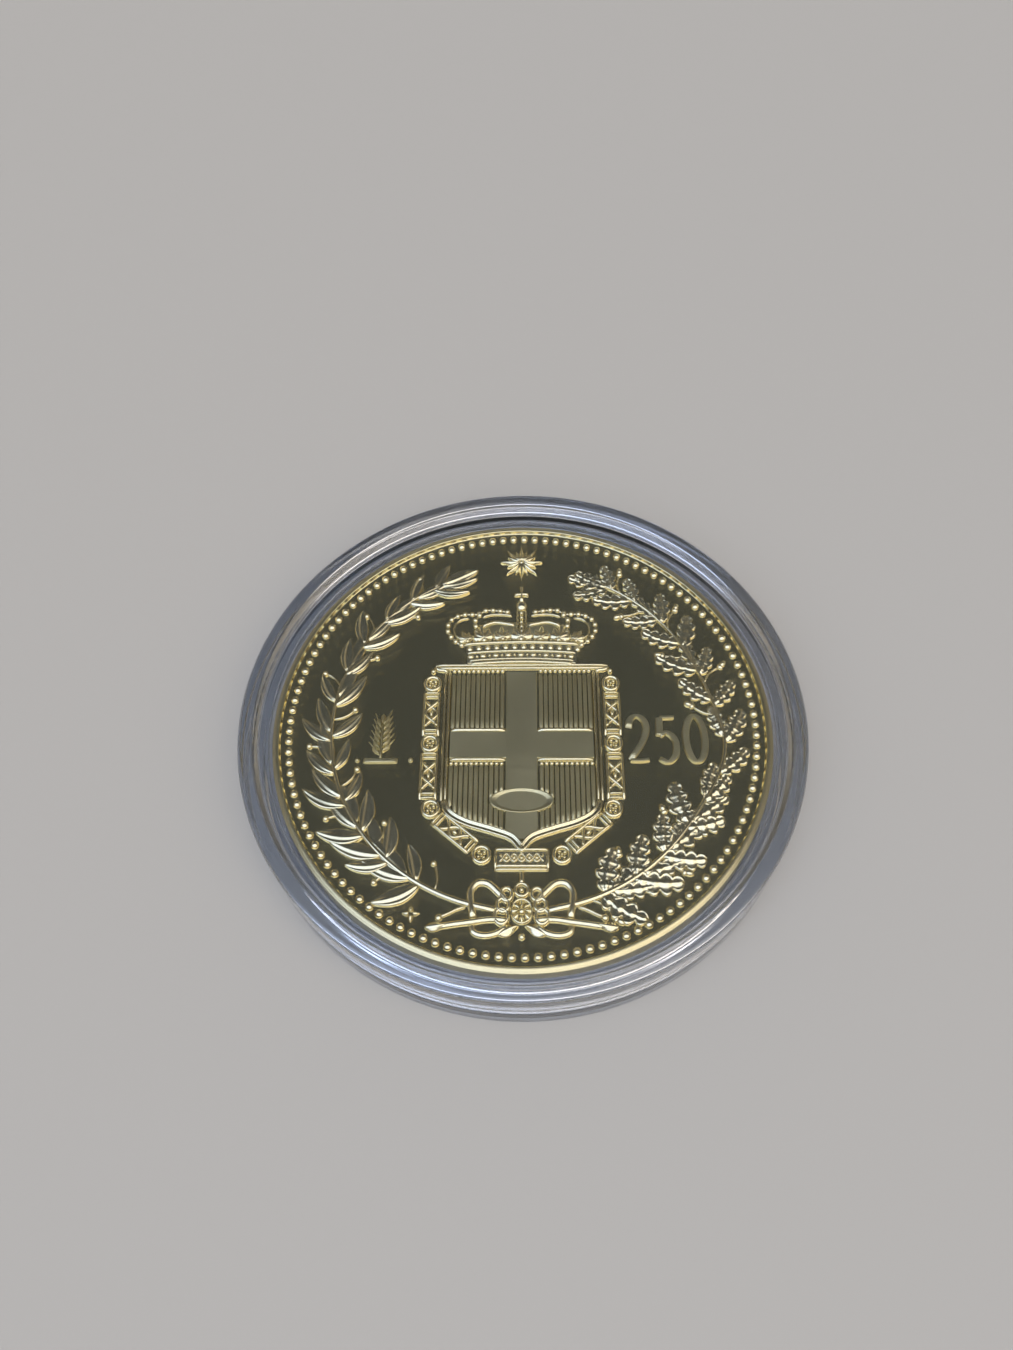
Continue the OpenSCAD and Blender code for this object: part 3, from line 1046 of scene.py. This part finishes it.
# On the other side of the shield an ear of wheat stands on a short bar: pairs of grains up a
# straight stalk, each a petal with its beard, and one grain at the tip.
def makeEar():
    foot, tip = np.array(ear["foot"]), np.array([0, ear["stalk"]])
    side = np.array([ear["bar"], 0])
    grids = [stroke(straight(foot - side, foot + side, 14), 0.19, 0.15, 0.06, flatSection),
             stroke(straight(foot, foot + tip, 14), 0.1, 0.13, 0.08),
             domes(12, 0.18, 0.16, [foot + [2.1, 0.05], foot + [-1.6, 0.05]])]
    for n in range(ear["pairs"]):
        for sign in (-1, 1):
            at = foot + [sign * 0.08, 0.55 + 0.42 * n + 0.1 * sign]
            lean = 90 - sign * (38 - 3 * n)
            grids.append(petal(at, math.radians(lean), 0.85, 0.22, 0.16))
            beard = straight(at + polar(0.6, lean), at + polar(1.35, lean), 6)
            grids.append(stroke(beard, 0.05, 0.08, 0.2, roundSection(5)))
    grids.append(petal(foot + tip, math.pi / 2, 0.8, 0.2, 0.16))
    goldPiece("wheat_ear", grids, frostGold)


# Four petals below the wreath's foot, as a small plain privy mark.
def makeMark():
    grids = rays((-7.1, -13.6), 0.1, [0.5], 4, 0.2, 0.15, rayOutline, first=0, rows=10)
    goldPiece("privy_mark", grids, reliefGold)


makeBow()
makeStar()
makeValue()
makeEar()
makeMark()
print("ribbon, star and value made")


lowerFace = {
    "rays": 16,
    "lengths": (8.6, 4.6, 6.4, 4.6),
    "pearls": 72,
    "pearlRing": 10.6,
    "lines": (10.1, 11.1, 15.3),   # radii of the raised lines
    "garland": 13.2,
    "pairs": 48,                   # pairs of leaves in the garland
}


# A compass star of sixteen rays inside a ring of pearls, with a garland of leaves round it.
def makeUnderside():
    grids = rays((0, 0), 0.6, lowerFace["lengths"], lowerFace["rays"], 0.95, 0.17, rayOutline, rows=24)
    grids.append(domes(40, 1.5, 0.18, [(0, 0)], 9))
    pearls = polar(lowerFace["pearlRing"], np.arange(lowerFace["pearls"]) * 360 / lowerFace["pearls"])
    grids.append(domes(10, 0.2, 0.16, pearls))
    for radius in lowerFace["lines"]:
        grids.append(carry(circle((0, 0), radius, 160), 0.09, 0.12, fineLine, closed=True))
    for angle in np.arange(lowerFace["pairs"]) * 360 / lowerFace["pairs"]:
        at = polar(lowerFace["garland"], angle)
        for lean in (-32, 32):
            grids.append(leafGrid(at, math.radians(angle + 90 + lean), 2.1, 0.42, 0, laurelOutline,
                                  laurelSurface(0.1), 0.16, 14, 11))
    goldPiece("compass_star", grids, reliefGold, under=True)


makeUnderside()
print("lower face made")


studio = {
    "floor": "#AEA99F",
    "backdrop": "#C4C4C2",      # what the camera sees past the floor
    "fillLow": "#B9AE9C",
    "fillHigh": "#91897C",
    "near": "#6E6E72",          # dim area low in front of the coin
    "card": (0.084, 0.092, 0.098, 1),
    "lightLeft": (1.8, 2.12, 2.85, 1),
    "lightRight": (2.4, 2.25, 2.12, 1),
}


# One flat square of pale board. Its half side is in metres.
def makeFloor(half=3.0):
    corners = [(-half, -half, 0), (half, -half, 0), (half, half, 0), (-half, half, 0)]
    mesh = bpy.data.meshes.new("floor")
    mesh.from_pydata(corners, [], [(0, 1, 2, 3)])
    material, tree = newMaterial("paleBoard")
    shader = addNode(tree, "ShaderNodeBsdfPrincipled", {
        "Base Color": linear(studio["floor"]), "Roughness": 0.7})
    addNode(tree, "ShaderNodeOutputMaterial", {"Surface": shader.outputs["BSDF"]})
    mesh.materials.append(material)
    addObject("floor", mesh)


# A studio without walls: one large soft light above and behind the camera, cool on its left and
# warm on its right, a dark card where the coin's mirror fields look, and a dim fill elsewhere.
def makeRoom():
    world = bpy.data.worlds.new("studio")
    bpy.context.scene.world = world
    world.use_nodes = True
    tree = world.node_tree
    tree.nodes.clear()
    direction = addNode(tree, "ShaderNodeTexCoord").outputs["Generated"]

    # 0 to 1 as the cosine of the angle between a direction and the vector goes from start to end
    def facing(vector, start, end):
        dot = addNode(tree, "ShaderNodeVectorMath", {0: direction, 1: Vector(vector).normalized()},
                      operation="DOT_PRODUCT")
        ramp = addNode(tree, "ShaderNodeMapRange", {
            "Value": dot.outputs["Value"], "From Min": start, "From Max": end},
            interpolation_type="SMOOTHSTEP")
        return ramp.outputs["Result"]

    def mix(share, a, b):
        return addNode(tree, "ShaderNodeMixRGB", {"Fac": share, "Color1": a, "Color2": b}).outputs["Color"]

    s = studio
    fill = mix(facing((0, 0, 1), -0.1, 0.9), linear(s["fillLow"]), linear(s["fillHigh"]))
    card = mix(facing((0, 0.5, 0.86), 0.72, 0.86), fill, s["card"])
    tint = mix(facing((1, 0, 0), -0.45, 0.45), s["lightLeft"], s["lightRight"])
    near = mix(facing((0, -1, -0.1), 0.2, 0.8), card, linear(s["near"]))
    above = facing((0, 0, 1), 0.22, 0.42)
    glow = addNode(tree, "ShaderNodeMath", {0: facing((0, -0.78, 0.62), 0.42, 0.58), 1: above},
                   operation="MULTIPLY")
    lit = mix(glow.outputs["Value"], near, tint)
    path = addNode(tree, "ShaderNodeLightPath")
    seen = mix(path.outputs["Is Camera Ray"], lit, linear(s["backdrop"]))
    back = addNode(tree, "ShaderNodeBackground", {"Color": seen, "Strength": 1.0})
    addNode(tree, "ShaderNodeOutputWorld", {"Surface": back.outputs["Background"]})
    world.cycles.sampling_method = "NONE"


view = {
    "lens": 27.5,           # millimetres on a 36 mm long side
    "elevation": 59.36,     # degrees above the table
    "azimuth": 2.33,        # degrees anticlockwise, seen from above
    "roll": 2.23,
    "distance": 72.6,       # from the point aimed at
    "aim": (-0.93, 3.0, 5.48),
}


# The camera looks down at the aim by the elevation, is rolled about its own line of sight and
# then turned about the upright line through the origin.
def makeCamera():
    e, r = math.radians(view["elevation"]), math.radians(view["roll"])
    back = np.array([0, -math.cos(e), math.sin(e)])
    up = np.array([0, math.sin(e), math.cos(e)])
    right = np.array([1.0, 0, 0])
    place = np.array(view["aim"]) + back * view["distance"]
    rolledRight = math.cos(r) * right - math.sin(r) * up
    rolledUp = math.sin(r) * right + math.cos(r) * up
    turn = Matrix.Rotation(math.radians(view["azimuth"]), 4, "Z")
    pose = Matrix.Identity(4)
    for n, axis in enumerate((rolledRight, rolledUp, back, place * mm)):
        pose.col[n][:3] = axis
    data = bpy.data.cameras.new("camera")
    data.lens, data.sensor_width, data.sensor_fit = view["lens"], 36, "AUTO"
    data.clip_start, data.clip_end = 0.002, 20
    camera = addObject("camera", data)
    camera.matrix_world = turn @ pose
    bpy.context.scene.camera = camera


makeFloor()
makeRoom()
makeCamera()
bpy.context.scene.view_settings.view_transform = "Standard"
# light that runs round inside the capsule's wall comes out again only after many bounces
cycles = bpy.context.scene.cycles
cycles.max_bounces = 32
cycles.glossy_bounces = 32
cycles.transmission_bounces = 32
cycles.transparent_max_bounces = 32
print("room and camera made")
